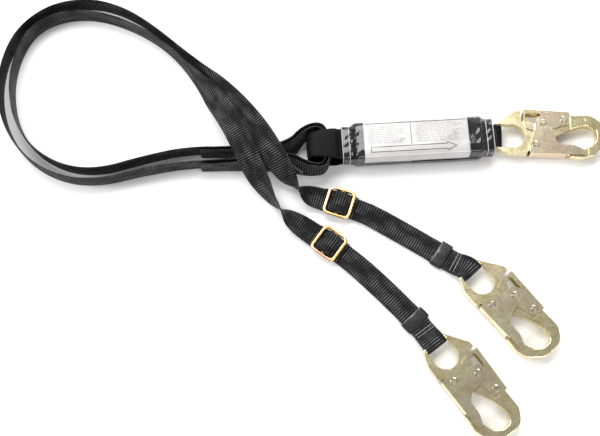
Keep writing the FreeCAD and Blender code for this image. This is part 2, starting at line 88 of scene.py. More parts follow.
def makeStudio():
    half = studio["floorHalf"]
    corners = [(-half, -half, 0), (half, -half, 0), (half, half, 0), (-half, half, 0)]
    mesh = bpy.data.meshes.new("floor")
    mesh.from_pydata(corners, [], [(0, 1, 2, 3)])
    floor = bpy.data.objects.new("floor", mesh)
    bpy.context.scene.collection.objects.link(floor)
    pale = bpy.data.materials.new("paleFloor")
    pale.use_nodes = True
    shader = pale.node_tree.nodes["Principled BSDF"]
    shader.inputs["Base Color"].default_value = (0.92, 0.92, 0.92, 1)
    shader.inputs["Roughness"].default_value = 0.9
    shader.inputs["Specular IOR Level"].default_value = 0.1
    mesh.materials.append(pale)
    world = bpy.data.worlds.new("softRoom")
    world.use_nodes = True
    sky = world.node_tree.nodes["Background"]
    sky.inputs["Color"].default_value = (1, 1, 1, 1)
    sky.inputs["Strength"].default_value = studio["worldLight"]
    bpy.context.scene.world = world
    middle = (-0.15, -0.05, 0.02)
    areaLight("topSoft", (-0.35, 0.75, 1.5), middle, (1.3, 0.8), 27.0)
    areaLight("leftStrip", (-1.3, 0.1, 0.9), middle, (0.35, 1.4), 13.0)
    areaLight("frontStrip", (0.35, -1.15, 0.75), middle, (1.2, 0.3), 11.0)
    areaLight("lowBack", (0.5, 1.1, 0.45), (0.05, -0.1, 0.02), (0.9, 0.25), 8.0)


makeCamera()
makeStudio()
bpy.context.scene.view_settings.view_transform = "Standard"
print("camera and studio made")


# Mesh helpers

def toObject(name, points, faces, body, material, uv=None, smooth=True):
    mesh = bpy.data.meshes.new(name)
    mesh.vertices.add(len(points))
    mesh.vertices.foreach_set("co", np.ascontiguousarray(points, dtype=np.float32).ravel())
    mesh.loops.add(faces.size)
    mesh.loops.foreach_set("vertex_index", np.ascontiguousarray(faces, dtype=np.int32).ravel())
    mesh.polygons.add(len(faces))
    mesh.polygons.foreach_set("loop_start", np.arange(0, faces.size, faces.shape[1], dtype=np.int32))
    mesh.update(calc_edges=True)
    if uv is not None:
        layer = mesh.uv_layers.new(name="weaveMap")
        layer.data.foreach_set("uv", np.ascontiguousarray(uv[faces.ravel()], dtype=np.float32).ravel())
    mesh.polygons.foreach_set("use_smooth", np.full(len(faces), smooth))
    mesh.validate()
    piece = bpy.data.objects.new(name, mesh)
    bpy.context.scene.collection.objects.link(piece)
    mesh.materials.append(material)
    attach(piece, body)
    return piece


def unit(rows):
    return rows / np.linalg.norm(rows, axis=-1, keepdims=True)


def gridFaces(along, around, closed=True):
    # Quads of a grid whose point number is row times around plus column.
    rows = np.arange(along - 1)[:, None]
    columns = np.arange(around if closed else around - 1)[None, :]
    after = (columns + 1) % around
    here, there = rows * around, (rows + 1) * around
    quads = np.stack([here + columns, here + after, there + after, there + columns], axis=-1)
    return quads.reshape(-1, 4)


def endCap(ring):
    # Fills a closed ring by a strip of quads between its two halves.
    half = len(ring) // 2
    left, right = ring[:half], ring[:half - 1:-1]
    return np.stack([left[:-1], left[1:], right[1:], right[:-1]], axis=-1)


def readLine(points):
    # The smooth line of a route: a NURBS curve of order 3 whose control points are the route's points.
    points = np.asarray(points, dtype=float)
    curve = bpy.data.curves.new("routeLine", "CURVE")
    curve.dimensions = "3D"
    spline = curve.splines.new("NURBS")
    spline.points.add(len(points) - 1)
    spline.points.foreach_set("co", np.c_[points, np.ones(len(points))].ravel())
    spline.order_u = 3
    spline.use_endpoint_u = True
    spline.resolution_u = 24
    holder = bpy.data.objects.new("routeLine", curve)
    bpy.context.scene.collection.objects.link(holder)
    bpy.context.view_layer.update()
    mesh = bpy.data.meshes.new_from_object(holder)
    line = np.empty(len(mesh.vertices) * 3)
    mesh.vertices.foreach_get("co", line)
    bpy.data.objects.remove(holder)
    bpy.data.curves.remove(curve)
    bpy.data.meshes.remove(mesh)
    return line.reshape(-1, 3)


def spaced(line, extra, step):
    # The line and its extra rows read again at equal distances.
    reach = np.concatenate([[0.0], np.cumsum(np.linalg.norm(np.diff(line, axis=0), axis=1))])
    count = max(8, int(round(reach[-1] / step)) + 1)
    at = np.linspace(0.0, reach[-1], count)
    pick = [np.stack([np.interp(at, reach, rows[:, k]) for k in range(rows.shape[1])], axis=1)
            for rows in (line, extra)]
    return pick[0], pick[1], at


def carryStrap(name, line, aim, width, thick, body, material, weave):
    # Flat webbing. Across the strap a flattened oval, along it the line. Each crest of the weave
    # lifts the face by ribHeight times the root of |sin| of the distance along, fading at the edges.
    step = weave["pitch"] / weave["stationsPerRib"]
    widths = np.broadcast_to(np.asarray(width, dtype=float), (len(line),))[:, None]
    centre, mixed, at = spaced(line, np.hstack([aim, widths]), step)
    across = mixed[:, :3]
    half = mixed[:, 3] / 2
    tangent = unit(np.gradient(centre, axis=0))
    across = unit(across - tangent * np.sum(across * tangent, axis=1, keepdims=True))
    normal = np.cross(tangent, across)
    around = weave["around"]
    angle = (np.arange(around) + 0.5) / around * 2 * math.pi
    side = np.sign(np.cos(angle)) * np.abs(np.cos(angle)) ** 0.55
    rise = np.sign(np.sin(angle)) * np.abs(np.sin(angle)) ** 0.40
    rib = np.sqrt(np.abs(np.sin(math.pi * at / weave["pitch"])))
    fade = 1.0 - side ** 6
    depth = thick / 2 - weave["ribHeight"] * (1.0 - rib[:, None]) * fade[None, :]
    edge = half - weave["edgeHeight"] * (1.0 - rib)
    points = centre[:, None, :]
    points = points + across[:, None, :] * (edge[:, None] * side[None, :])[..., None]
    points = points + normal[:, None, :] * (depth * rise[None, :])[..., None]
    rows = len(centre)
    faces = gridFaces(rows, around)
    ring = np.arange(around)
    caps = np.vstack([endCap(ring)[:, ::-1], endCap(ring + (rows - 1) * around)])
    faces = np.vstack([faces, caps])[:, ::-1]
    uv = np.empty((rows, around, 2))
    uv[..., 0] = side[None, :] * half[:, None] / 0.0254 + 0.5
    uv[..., 1] = at[:, None] / 0.0254
    return toObject(name, points.reshape(-1, 3), faces, body, material, uv.reshape(-1, 2)), centre


def threadTubes(name, lines, radius, body, material, sides=6):
    # Round threads: a circle carried along each line, the circle's arms square to the line.
    allPoints, allFaces, first = [], [], 0
    angle = np.arange(sides) / sides * 2 * math.pi
    for line in lines:
        line = np.asarray(line, dtype=float)
        tangent = unit(np.gradient(line, axis=0))
        helper = np.where(np.abs(tangent[:, 2:3]) < 0.9, up[None, :], np.array([[1.0, 0.0, 0.0]]))
        arm = unit(np.cross(tangent, helper))
        other = np.cross(tangent, arm)
        ring = arm[:, None, :] * np.cos(angle)[None, :, None]
        ring = ring + other[:, None, :] * np.sin(angle)[None, :, None]
        allPoints.append((line[:, None, :] + ring * radius).reshape(-1, 3))
        corner = np.arange(sides)
        caps = np.vstack([endCap(corner)[:, ::-1], endCap(corner + (len(line) - 1) * sides)])
        faces = np.vstack([gridFaces(len(line), sides), caps])
        allFaces.append(faces + first)
        first += len(line) * sides
    return toObject(name, np.vstack(allPoints), np.vstack(allFaces), body, material)


# Materials

def newMaterial(name, colour, roughness, metallic=0.0, specular=0.5):
    material = bpy.data.materials.new(name)
    material.use_nodes = True
    shader = material.node_tree.nodes["Principled BSDF"]
    shader.inputs["Base Color"].default_value = (*colour, 1)
    shader.inputs["Roughness"].default_value = roughness
    shader.inputs["Metallic"].default_value = metallic
    shader.inputs["Specular IOR Level"].default_value = specular
    return material, shader


def addNode(material, kind, **values):
    node = material.node_tree.nodes.new(kind)
    for key, value in values.items():
        setattr(node, key, value)
    return node


def join(material, source, target):
    material.node_tree.links.new(source, target)


def ramp(material, source, stops):
    node = addNode(material, "ShaderNodeValToRGB")
    elements = node.color_ramp.elements
    while len(elements) < len(stops):
        elements.new(0.5)
    for element, (place, colour) in zip(elements, stops):
        element.position = place
        element.color = (*colour, 1)
    join(material, source, node.inputs["Fac"])
    return node.outputs["Color"]


def noise(material, vector, scale, detail=3.0):
    node = addNode(material, "ShaderNodeTexNoise")
    node.inputs["Scale"].default_value = scale
    node.inputs["Detail"].default_value = detail
    join(material, vector, node.inputs["Vector"])
    return node.outputs["Fac"]


def multiply(material, first, second):
    node = addNode(material, "ShaderNodeMix", data_type="RGBA", blend_type="MULTIPLY")
    node.inputs[0].default_value = 1.0
    join(material, first, node.inputs[6])
    join(material, second, node.inputs[7])
    return node.outputs[2]


def webbingMaterial(name, dark, light, roughness, yarns, picks, bumpDepth, ribPitch=0.0, crestHighlight=(0, 0, 0)):
    # Diagonal yarns from the strap's own map: waves across and along, broken up by a fine noise.
    # On ribbed webbing the crests carry a painted highlight: they are lighter, in long soft patches, where
    # light would catch the ribs.
    material, shader = newMaterial(name, dark, roughness, specular=0.14)
    weaveMap = addNode(material, "ShaderNodeUVMap", uv_map="weaveMap").outputs["UV"]
    turned = addNode(material, "ShaderNodeMapping")
    turned.inputs["Scale"].default_value = (yarns, picks, 1.0)
    join(material, weaveMap, turned.inputs["Vector"])
    yarn = addNode(material, "ShaderNodeTexWave", wave_type="BANDS", bands_direction="X")
    yarn.inputs["Scale"].default_value = 0.3142
    yarn.inputs["Distortion"].default_value = 1.2
    yarn.inputs["Detail"].default_value = 1.0
    join(material, turned.outputs["Vector"], yarn.inputs["Vector"])
    twill = addNode(material, "ShaderNodeTexWave", wave_type="BANDS", bands_direction="DIAGONAL")
    twill.inputs["Scale"].default_value = 0.22
    twill.inputs["Distortion"].default_value = 0.8
    join(material, turned.outputs["Vector"], twill.inputs["Vector"])
    mixed = addNode(material, "ShaderNodeMath", operation="MULTIPLY")
    join(material, yarn.outputs["Fac"], mixed.inputs[0])
    join(material, twill.outputs["Fac"], mixed.inputs[1])
    fuzz = noise(material, weaveMap, 90.0)
    weave = addNode(material, "ShaderNodeMath", operation="MULTIPLY_ADD")
    weave.inputs[1].default_value = 0.25
    join(material, fuzz, weave.inputs[0])
    join(material, mixed.outputs[0], weave.inputs[2])
    colour = ramp(material, weave.outputs[0], [(0.15, dark), (0.9, light)])
    # Painted highlight: the crest colour is mixed into the base colour on the rib crests, in broken patches.
    if ribPitch:
        rib = addNode(material, "ShaderNodeTexWave", wave_type="BANDS", bands_direction="Y")
        rib.inputs["Scale"].default_value = 2 * math.pi / (20 * ribPitch / 0.0254)
        join(material, weaveMap, rib.inputs["Vector"])
        ridge = ramp(material, rib.outputs["Fac"], [(0.45, (0, 0, 0)), (0.95, (1, 1, 1))])
        stretched = addNode(material, "ShaderNodeMapping")
        stretched.inputs["Scale"].default_value = (1.6, 0.7, 1.0)
        join(material, weaveMap, stretched.inputs["Vector"])
        patches = noise(material, stretched.outputs["Vector"], 1.3, 2.0)
        patch = ramp(material, patches, [(0.4, (0.12,) * 3), (0.62, (1, 1, 1))])
        broken = ramp(material, noise(material, weaveMap, 26.0, 1.0), [(0.35, (0.25,) * 3), (0.6, (1, 1, 1))])
        highlightMask = multiply(material, multiply(material, ridge, patch), broken)
        paintedHighlight = addNode(material, "ShaderNodeMix", data_type="RGBA")
        join(material, highlightMask, paintedHighlight.inputs[0])
        join(material, colour, paintedHighlight.inputs[6])
        paintedHighlight.inputs[7].default_value = (*crestHighlight, 1)
        colour = paintedHighlight.outputs[2]
    join(material, colour, shader.inputs["Base Color"])
    bump = addNode(material, "ShaderNodeBump")
    bump.inputs["Strength"].default_value = 0.7
    bump.inputs["Distance"].default_value = bumpDepth
    join(material, weave.outputs[0], bump.inputs["Height"])
    join(material, bump.outputs["Normal"], shader.inputs["Normal"])
    return material


def platingMaterial(name, gold, pale, blush, roughness, grain, blushAmount):
    # Yellow zinc plating: gold with straw and pink clouds, a fine satin grain and soft dents.
    material, shader = newMaterial(name, gold, roughness, metallic=1.0)
    place = addNode(material, "ShaderNodeTexCoord").outputs["Object"]
    clouds = noise(material, place, 38.0, 4.0)
    base = ramp(material, clouds, [(0.3, gold), (0.5, pale), (0.72, gold)])
    tint = noise(material, place, 21.0, 2.0)
    share = ramp(material, tint, [(0.45, (0, 0, 0)), (0.68, (blushAmount,) * 3)])
    mix = addNode(material, "ShaderNodeMix", data_type="RGBA")
    join(material, share, mix.inputs[0])
    join(material, base, mix.inputs[6])
    mix.inputs[7].default_value = (*blush, 1)
    join(material, mix.outputs[2], shader.inputs["Base Color"])
    fine = noise(material, place, grain, 2.0)
    rough = ramp(material, fine, [(0.3, (roughness * 0.9,) * 3), (0.7, (roughness * 1.12,) * 3)])
    join(material, rough, shader.inputs["Roughness"])
    bump = addNode(material, "ShaderNodeBump")
    bump.inputs["Strength"].default_value = 0.05
    bump.inputs["Distance"].default_value = 0.00008
    join(material, fine, bump.inputs["Height"])
    join(material, bump.outputs["Normal"], shader.inputs["Normal"])
    return material


def vinylMaterial(name, colour, light, roughness, alpha=1.0, scale=60.0):
    # Glossy vinyl with faint cloudy creases.
    material, shader = newMaterial(name, colour, roughness, specular=0.6)
    shader.inputs["Coat Weight"].default_value = 0.4
    shader.inputs["Coat Roughness"].default_value = 0.05
    shader.inputs["Alpha"].default_value = alpha
    place = addNode(material, "ShaderNodeTexCoord").outputs["Object"]
    clouds = noise(material, place, scale, 3.0)
    join(material, ramp(material, clouds, [(0.35, colour), (0.75, light)]), shader.inputs["Base Color"])
    bump = addNode(material, "ShaderNodeBump")
    bump.inputs["Strength"].default_value = 0.3
    bump.inputs["Distance"].default_value = 0.0006
    join(material, clouds, bump.inputs["Height"])
    join(material, bump.outputs["Normal"], shader.inputs["Normal"])
    return material


def threadMaterial(name, colour, light):
    material, shader = newMaterial(name, colour, 0.55)
    place = addNode(material, "ShaderNodeTexCoord").outputs["Object"]
    ply = noise(material, place, 1800.0, 2.0)
    join(material, ramp(material, ply, [(0.35, colour), (0.7, light)]), shader.inputs["Base Color"])
    return material


def steelMaterial(name, colour, light, roughness):
    material, shader = newMaterial(name, colour, roughness, metallic=1.0)
    place = addNode(material, "ShaderNodeTexCoord").outputs["Object"]
    fine = noise(material, place, 420.0, 4.0)
    join(material, ramp(material, fine, [(0.3, colour), (0.7, light)]), shader.inputs["Base Color"])
    rough = ramp(material, fine, [(0.2, (roughness * 0.7,) * 3), (0.8, (roughness * 1.4,) * 3)])
    join(material, rough, shader.inputs["Roughness"])
    return material


looks = {
    # The leg webbing's last colour is the painted highlight on its rib crests.
    "leg": webbingMaterial("legWebbing", (0.0015, 0.0015, 0.0017), (0.008, 0.008, 0.009),
                           0.5, 150.0, 110.0, 0.0002, 0.0027, (0.17, 0.17, 0.175)),
    "smooth": webbingMaterial("smoothWebbing", (0.0012, 0.0012, 0.0014), (0.006, 0.006, 0.007),
                              0.45, 200.0, 260.0, 0.0001),
    "tear": webbingMaterial("tearWebbing", (0.002, 0.002, 0.002), (0.012, 0.012, 0.012),
                            0.6, 150.0, 160.0, 0.0002),
    "forged": platingMaterial("forgedPlating", (0.66, 0.57, 0.30), (0.86, 0.78, 0.50), (0.82, 0.58, 0.46),
                              0.27, 260.0, 0.45),
    "sheet": platingMaterial("sheetPlating", (0.70, 0.60, 0.34), (0.90, 0.83, 0.58), (0.86, 0.64, 0.54),
                             0.25, 300.0, 0.55),
    "adjuster": platingMaterial("adjusterPlating", (0.58, 0.33, 0.12), (0.74, 0.50, 0.25), (0.74, 0.38, 0.32),
                                0.28, 300.0, 0.9),
    "rivet": steelMaterial("rivetSteel", (0.58, 0.53, 0.42), (0.76, 0.71, 0.58), 0.28),
    "spring": steelMaterial("springWire", (0.32, 0.32, 0.32), (0.5, 0.5, 0.5), 0.35),
    "clear": vinylMaterial("clearVinyl", (0.01, 0.01, 0.011), (0.035, 0.035, 0.037), 0.07, 0.55, 70.0),
    "rim": vinylMaterial("vinylRim", (0.38, 0.38, 0.39), (0.6, 0.6, 0.6), 0.15),
    "dark": vinylMaterial("darkVinyl", (0.006, 0.006, 0.007), (0.02, 0.02, 0.022), 0.16),
    "keeper": vinylMaterial("keeperVinyl", (0.004, 0.004, 0.005), (0.018, 0.018, 0.02), 0.28, 1.0, 300.0),
    "film": vinylMaterial("printedFilm", (0.44, 0.435, 0.43), (0.54, 0.535, 0.53), 0.34, 1.0, 40.0),
    "print": vinylMaterial("printInk", (0.26, 0.25, 0.26), (0.36, 0.34, 0.35), 0.4, 1.0, 200.0),
    "thread": threadMaterial("blackThread", (0.03, 0.03, 0.032), (0.16, 0.16, 0.165)),
    "ink": vinylMaterial("arrowInk", (0.05, 0.05, 0.055), (0.10, 0.10, 0.10), 0.4, 1.0, 200.0),
    "paleThread": threadMaterial("paleThread", (0.22, 0.22, 0.22), (0.55, 0.55, 0.54)),
    "lightThread": threadMaterial("greyThread", (0.10, 0.10, 0.105), (0.38, 0.38, 0.38)),
}
print("materials mixed")


# Leg straps: each point is x, y, z, then the strap's heading and its roll, 90 standing on edge

legStrap = {
    "width": 0.0254,
    "thick": 0.0018,
    "legs_1": [
        (-0.236, 0.001, 0.0133, 0, 90), (-0.19, -0.0017, 0.0133, 0, 90), (-0.142, -0.0072, 0.0133, 0, 122),
        (-0.1185, 0.0188, 0.0166, 0, 98), (-0.0996, 0.0188, 0.0166, 0, 90),
        (-0.0996, -0.0234, 0.0166, 0, 90), (-0.1185, -0.0234, 0.0166, 0, 98),
        (-0.142, -0.0109, 0.0133, 0, 122), (-0.195, -0.0115, 0.0133, 0, 90), (-0.25, -0.0105, 0.0133, 0, 90),
        (-0.3, -0.0165, 0.0133, 0, 90), (-0.345, -0.0255, 0.0133, 0, 90), (-0.385, -0.0205, 0.0133, 0, 90),
        (-0.421, 0.001, 0.0133, 0, 90), (-0.446, 0.037, 0.0133, 0, 90), (-0.456, 0.078, 0.0133, 0, 90),
        (-0.452, 0.12, 0.0133, 0, 90), (-0.435, 0.158, 0.0133, 0, 90), (-0.401, 0.184, 0.0133, 0, 90),
        (-0.358, 0.1905, 0.0133, 0, 90), (-0.318, 0.178, 0.0133, 0, 90), (-0.283, 0.152, 0.0133, 0, 90),
        (-0.252, 0.122, 0.0133, 0, 90), (-0.229, 0.093, 0.016, -50, 115), (-0.21, 0.07, 0.024, -52, 150),
        (-0.191, 0.046, 0.031, -54, 165), (-0.173, 0.02, 0.0345, -58, 165),
        (-0.158, -0.008, 0.0345, -61, 168), (-0.1455, -0.0305, 0.024, -56, 135),
        (-0.136, -0.0435, 0.0136, -46, 90), (-0.1245, -0.0502, 0.0084, -30, 30),
        (-0.1105, -0.0546, 0.0046, -21, 0), (-0.089, -0.0623, 0.0046, -21.0, 0),
    ],
    "legs_2": [
        (-0.236, -0.015, 0.0133, 0, 90), (-0.19, -0.0165, 0.0133, 0, 90), (-0.144, -0.0146, 0.0133, 0, 122),
        (-0.1205, -0.0272, 0.0166, 0, 98), (-0.0956, -0.0272, 0.0166, 0, 90),
        (-0.0956, 0.0226, 0.0166, 0, 90), (-0.12, 0.0226, 0.0166, 0, 98), (-0.144, -0.0036, 0.0133, 0, 122),
        (-0.195, 0.0025, 0.0133, 0, 90), (-0.25, 0.0055, 0.0133, 0, 90), (-0.3, -0.003, 0.0133, 0, 90),
        (-0.345, -0.014, 0.0133, 0, 90), (-0.384, -0.008, 0.0133, 0, 90), (-0.417, 0.0145, 0.0133, 0, 90),
        (-0.437, 0.048, 0.0133, 0, 90), (-0.4435, 0.09, 0.0133, 0, 90), (-0.437, 0.128, 0.0133, 0, 90),
        (-0.42, 0.16, 0.0133, 0, 90), (-0.388, 0.1755, 0.0133, 0, 90), (-0.35, 0.175, 0.0133, 0, 90),
        (-0.312, 0.16, 0.0133, 0, 90), (-0.28, 0.139, 0.0133, 0, 90), (-0.255, 0.113, 0.0133, 0, 90),
        (-0.232, 0.083, 0.015, -55, 115), (-0.217, 0.059, 0.023, -60, 150), (-0.205, 0.038, 0.03, -63, 165),
        (-0.195, 0.016, 0.0335, -67, 165), (-0.186, -0.007, 0.033, -67, 165),
        (-0.177, -0.029, 0.026, -64, 150), (-0.166, -0.049, 0.016, -57, 115),
        (-0.1545, -0.065, 0.0136, -50, 90), (-0.143, -0.076, 0.0088, -43, 34),
        (-0.125, -0.0896, 0.0046, -39, 0), (-0.103, -0.1068, 0.0046, -39.0, 0),
    ],
    "lengths": (1.15, 1.14),
}
legWeave = {"pitch": 0.0027, "stationsPerRib": 6, "around": 20, "ribHeight": 0.00055, "edgeHeight": 0.00035}
fineWeave = {"pitch": 0.0012, "stationsPerRib": 4, "around": 18, "ribHeight": 0.00008, "edgeHeight": 0.0001}


def widthAim(heading, roll):
    # Width direction: level and square to the heading when flat, straight up when on edge.
    turn, lean = np.radians(heading - 90.0), np.radians(roll)
    flat = np.stack([np.cos(turn), np.sin(turn), np.zeros_like(turn)], axis=1)
    return flat * np.cos(lean)[:, None] + up[None, :] * np.sin(lean)[:, None]


def makeLegs():
    for number, length in zip("12", legStrap["lengths"]):
        rows = np.array(legStrap["legs_" + number], dtype=float)
        aim = widthAim(rows[:, 3], rows[:, 4])
        line = readLine(rows[:, :3])
        lifted = readLine(rows[:, :3] + aim * 0.01)
        name = "leg_" + number + "_strap"
        strap, centre = carryStrap(name, line, unit(lifted - line), legStrap["width"], legStrap["thick"],
                                   "legs", looks["leg"], legWeave)
        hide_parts("leg_" + number + "_webbing")


makeLegs()
print("leg straps laid")

# Where the hooks, adjusters and keepers are: read from the frame's own joints and boxes

behaviour = frame["record"]["behaviour"]
joints = {joint["name"]: joint for joint in behaviour["joints"]}
hookNames = ("harness_hook", "leg_1_hook", "leg_2_hook")
hookShape = {"barToEye": 0.0167, "barRadius": 0.0031, "barGap": 0.0003}


def middleOf(node):
    low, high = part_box(node)
    return (np.array(low) + np.array(high)) / 2


def hookPlace(hook):
    # Eye bar's middle, then the directions to the bow and to the spine.
    swing = joints[hook + "_swing"]
    ahead = np.cross(up, np.array(swing["axis"], dtype=float))
    return np.array(swing["pos_m"], dtype=float), ahead, np.cross(up, ahead)


def roundBar(bar, ahead, radius):
    # Half circle round the eye bar, from over it to under it by the bow's side.
    angle = np.linspace(math.pi / 2, -math.pi / 2, 17)[:, None]
    return bar + ahead * np.cos(angle) * radius + up * np.sin(angle) * radius


def blendAims(first, last, rows, start=0.0):
    # Width direction that turns evenly from the first to the last.
    share = np.clip((np.linspace(0, 1, rows) - start) / (1 - start), 0, 1)[:, None]
    return unit(first * (1 - share) + last * share)


# Hook loops of the legs: on top from the adjuster to the hook, round the eye bar and back below

hookLoop = {
    "upper": 0.0046,
    "lower": 0.0025,
    "barLead": 0.006,
    "width": 0.0244,
    "leg_1": [(-0.0887, -0.0624), (-0.061, -0.0735), (-0.027, -0.096), (0.0158, -0.1255), (0.0295, -0.1358)],
    "leg_2": [(-0.1028, -0.107), (-0.08, -0.1258), (-0.051, -0.156), (-0.0185, -0.1938), (-0.009, -0.2074)],
}


def squareTo(line):
    # Level width direction, square to the line.
    tangent = np.gradient(line, axis=0)
    flat = np.stack([tangent[:, 1], -tangent[:, 0], np.zeros(len(line))], axis=1)
    return unit(flat)


hookLoopTops = {}


def makeHookLoops():
    for leg in ("leg_1", "leg_2"):
        bar, ahead, left = hookPlace(leg + "_hook")
        ring = hookShape["barRadius"] + hookShape["barGap"] + legStrap["thick"] / 2
        route = np.array(hookLoop[leg])
        lead = ahead * hookLoop["barLead"]
        above = np.c_[route, np.full(len(route), hookLoop["upper"])]
        below = np.c_[route, np.full(len(route), hookLoop["lower"])]
        top = np.vstack([above, bar - lead + up * ring, bar + up * ring])
        under = np.vstack([bar - up * ring, bar - lead - up * ring, below[:0:-1]])
        topLine, underLine = readLine(top), readLine(under)
        hookLoopTops[leg] = topLine
        turn = roundBar(bar, ahead, ring)
        line = np.vstack([topLine[:-1], turn, underLine[1:]])
        aim = np.vstack([squareTo(topLine)[:-1], np.tile(-left, (len(turn), 1)), -squareTo(underLine)[1:]])
        strap, centre = carryStrap(leg + "_loop_strap", line, aim, hookLoop["width"], legStrap["thick"],
                                   "legs", looks["leg"], legWeave)
        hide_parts(leg + "_hook_loop")


# Adjusters: the strap's turn over the floating bar

webTurn = {
    "width": 0.0246,
    "profile": [(-0.0185, 0.0067), (-0.0093, 0.0067), (-0.0052, 0.0129), (0.0052, 0.0129), (0.0093, 0.0067),
                (0.0185, 0.0067)],
}


def makeWebTurns():
    for name in ("adjuster_1", "adjuster_2"):
        along = np.array(joints[name + "_slide"]["axis"], dtype=float)
        middle = middleOf(name + "_frame") * (1, 1, 0)
        profile = np.array(webTurn["profile"])
        line = readLine(middle + along * profile[:, :1] + up * profile[:, 1:])
        aim = np.tile(np.cross(along, up), (len(line), 1))
        strap, centre = carryStrap(name + "_strap_turn", line, aim, webTurn["width"], legStrap["thick"],
                                   name, looks["leg"], legWeave)
        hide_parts(name + "_web_turn")


makeHookLoops()
makeWebTurns()
print("hook loops and adjuster turns laid")


# Shock pack

pack = {
    "halfLength": 0.082,
    "bulkEnd": 0.0665,
    "collarStart": 0.0735,
    "bulk": (0.0215, 0.0, 0.033),
    "collar": (0.0195, 0.0035, 0.0275),
    "squareness": 6.5,
    "wall": 0.0009,
    "labelEnds": (-0.059, 0.054),
    "flapEnds": (-0.006, 0.066),
}


def packSkin(x, angle, lift):
    # Pack's outside. Half width, foot and top ease from the bulk to the collars as 3s2 - 2s3, and the
    # section is a superellipse read by polar angle, with small ripples of heat shrinking at the steps.
    share = np.clip((np.abs(x) - pack["bulkEnd"]) / (pack["collarStart"] - pack["bulkEnd"]), 0, 1)
    share = share * share * (3 - 2 * share)
    half, foot, top = (a + (b - a) * share for a, b in zip(pack["bulk"], pack["collar"]))
    high = (top - foot) / 2
    near = np.exp(-((np.abs(x) - 0.0715) / 0.006) ** 2)
    ripple = 0.00028 * near * np.sin(9 * angle + 500 * x) + 0.00012 * np.sin(3 * angle + 110 * x)
    power = pack["squareness"]
    reach = (np.abs(np.cos(angle) / half) ** power + np.abs(np.sin(angle) / high) ** power) ** (-1 / power)
    reach = reach + lift + ripple - 0.0002
    return np.stack([x + 0 * angle, reach * np.cos(angle), foot + high + reach * np.sin(angle)], axis=-1)


def sheetOnPack(name, ends, angles, lift, thick, counts, material, node=None):
    x = np.linspace(*ends, counts[0])[:, None]
    angle = np.linspace(*angles, counts[1])[None, :]
    points = packSkin(x, angle, lift)
    faces = gridFaces(counts[0], counts[1], closed=False)
    piece = toObject(name, points.reshape(-1, 3), faces, "absorber", material)
    wall = piece.modifiers.new("wall", "SOLIDIFY")
    wall.thickness = thick
    wall.offset = -1
    if node:
        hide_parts(node)
    return piece


def makeCover():
    x = np.linspace(-pack["halfLength"], pack["halfLength"], 240)[:, None]
    angle = (np.arange(160) / 160 * 2 * math.pi)[None, :]
    faces = gridFaces(240, 160)
    cover = toObject("clear_cover", packSkin(x, angle, 0.0).reshape(-1, 3), faces, "absorber", looks["clear"])
    wall = cover.modifiers.new("wall", "SOLIDIFY")
    wall.thickness = pack["wall"]
    wall.offset = -1
    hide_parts("absorber_cover")
    rims = []
    angle = np.linspace(0, 2 * math.pi, 121)
    for end in (-1, 1):
        for x in (0.0818, 0.0745):
            rims.append(packSkin(np.full(121, end * x), angle, 0.0001))
    rim = threadTubes("cover_end_beads", rims, 0.00042, "absorber", looks["rim"], 8)


def makeLabel():
    sheetOnPack("print_label", pack["labelEnds"], (0.05, math.pi - 0.05), 0.0005, 0.0003, (90, 120),
                looks["film"], "absorber_label")
    sheetOnPack("front_flap", pack["flapEnds"], (math.pi + 0.18, math.pi + 0.74), 0.0006, 0.0003, (70, 30),
                looks["dark"], "cover_flap")


def strokes(name, lines, width, lift, material):
    # Printed marks: each line of (x, y) on the label's top becomes a ribbon that follows the label.
    allPoints, allFaces, first = [], [], 0
    for line in lines:
        count = 24
        share = np.linspace(0, len(line) - 1, count)
        knots = np.arange(len(line))
        x, y = np.array(line).T
        row = np.stack([np.interp(share, knots, x), np.interp(share, knots, y)], 1)
        tangent = unit(np.gradient(row, axis=0))
        side = np.stack([-tangent[:, 1], tangent[:, 0]], 1) * width / 2
        edge = np.stack([row + side, row - side], 1)
        height = pack["bulk"][2] / 2
        angle = np.arctan2(height, edge[..., 1])
        for _ in range(6):
            seen = packSkin(edge[..., 0], angle, 0.0)
            angle = np.arctan2(seen[..., 2] - height, edge[..., 1])
        allPoints.append(packSkin(edge[..., 0], angle, 0.0005 + lift).reshape(-1, 3))
        allFaces.append(gridFaces(count, 2, closed=False) + first)
        first += count * 2
    piece = toObject(name, np.vstack(allPoints), np.vstack(allFaces)[:, ::-1], "absorber", material)


def makePrint():
    # Rows of short bars stand for lines of words, and a plain arrow shows the pulling direction.
    draw = np.random.default_rng(7)
    bars = []
    for row in range(11):
        y = 0.0135 - 0.0019 * row
        for start, end in ((-0.0555, -0.012), (-0.004, 0.049)):
            x = start + draw.uniform(0, 0.003)
            stop = end - draw.uniform(0.0, 0.010)
            while x < stop:
                reach = min(x + draw.uniform(0.003, 0.009), stop)
                bars.append([(x, y), (reach, y)])
                x = reach + 0.0013
    strokes("label_bars", bars, 0.00055, 0.00022, looks["print"])
    arrow = [(-0.052, -0.0095), (0.030, -0.0095), (0.030, -0.0078), (0.040, -0.0122),
             (0.030, -0.0166), (0.030, -0.0149), (-0.052, -0.0149), (-0.052, -0.0095)]
    outlines = [[first, last] for first, last in zip(arrow, arrow[1:])]
    outlines += [[(-0.008, 0.0155), (-0.008, -0.0085)], [(-0.0575, 0.0165), (0.0525, 0.0165)]]
    strokes("label_arrow", outlines, 0.0007, 0.00024, looks["ink"])


def serpentineLine(layers, half, low, pitch):
    # Level runs joined by half circles at alternate ends.
    rows = []
    turn = np.linspace(-math.pi / 2, math.pi / 2, 13)
    for k in range(layers):
        way = 1 if k % 2 == 0 else -1
        z = low + k * pitch
        rows.append(np.stack([np.linspace(-half, half, 40) * way, np.zeros(40), np.full(40, z)], 1))
        if k + 1 < layers:
            rows.append(np.stack([way * (half + np.cos(turn) * pitch / 2), np.zeros(13),
                                  z + pitch / 2 + np.sin(turn) * pitch / 2], 1)[1:-1])
    return np.vstack(rows)


